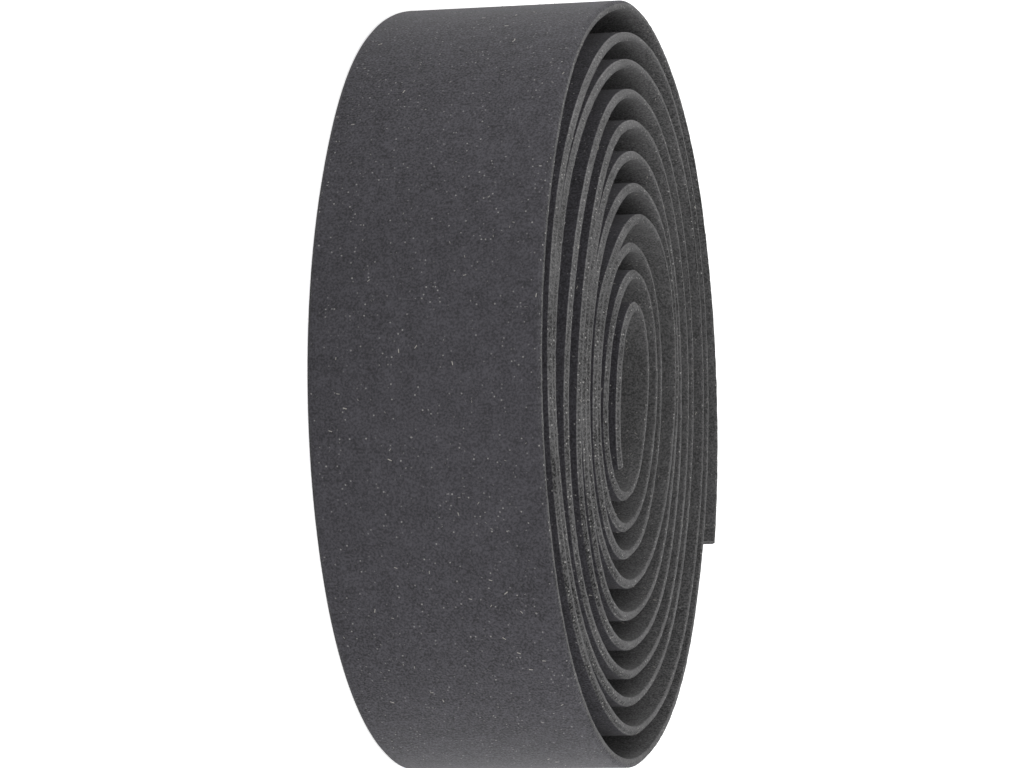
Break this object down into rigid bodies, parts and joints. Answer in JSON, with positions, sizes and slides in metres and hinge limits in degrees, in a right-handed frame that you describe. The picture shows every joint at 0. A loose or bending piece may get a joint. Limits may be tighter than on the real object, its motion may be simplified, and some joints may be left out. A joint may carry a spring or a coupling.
{
  "type": "handlebar tape roll",
  "caption": "Roll of charcoal foam handlebar tape, one long strip wound up loosely into an open spiral that stands on its edges.",
  "frame": {"origin": "centre of the roll's footprint, on the surface that its lower edge stands on", "axes": "+Z along the roll's axis, across the tape's width; the winding runs out from the inner end clockwise as seen from +Z, and the free end is on the +Y side"},
  "size_m": [0.1022, 0.1044, 0.03],
  "materials": {
    "tape": "matt charcoal foam with a fine grain and pale fibre flecks"
  },
  "bodies": {
    "root": {"tape": "tape"}
  },
  "joints": []
}
